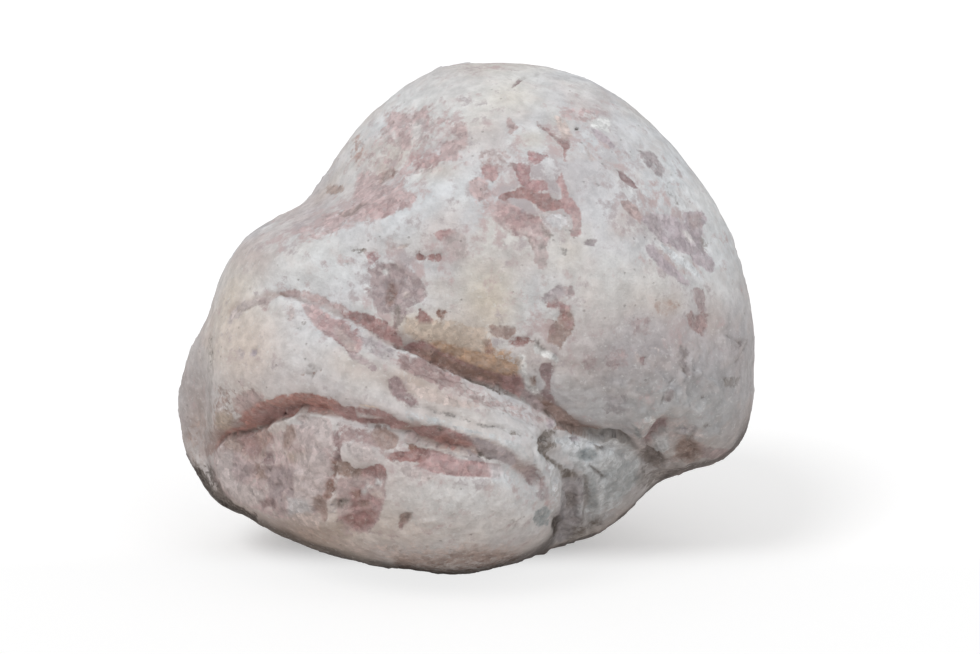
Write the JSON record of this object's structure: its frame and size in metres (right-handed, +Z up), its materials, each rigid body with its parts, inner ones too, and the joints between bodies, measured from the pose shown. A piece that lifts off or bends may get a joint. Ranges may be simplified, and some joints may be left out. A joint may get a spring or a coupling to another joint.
{
  "type": "rose quartz boulder",
  "caption": "Water-worn boulder of rose quartz with deep creases, lying on a flat worn under it.",
  "frame": {"origin": "middle of the bounding box at the plane the stone lies on", "axes": "+Z up, +X along the stone's longest extent; the broad creased face looks towards -Y and leans back"},
  "size_m": [0.3044, 0.2496, 0.2598],
  "materials": {
    "stone": "water-worn milky quartz, dull, with dusty pink windows and ochre stains"
  },
  "bodies": {
    "root": {"stone": "stone"}
  },
  "joints": []
}
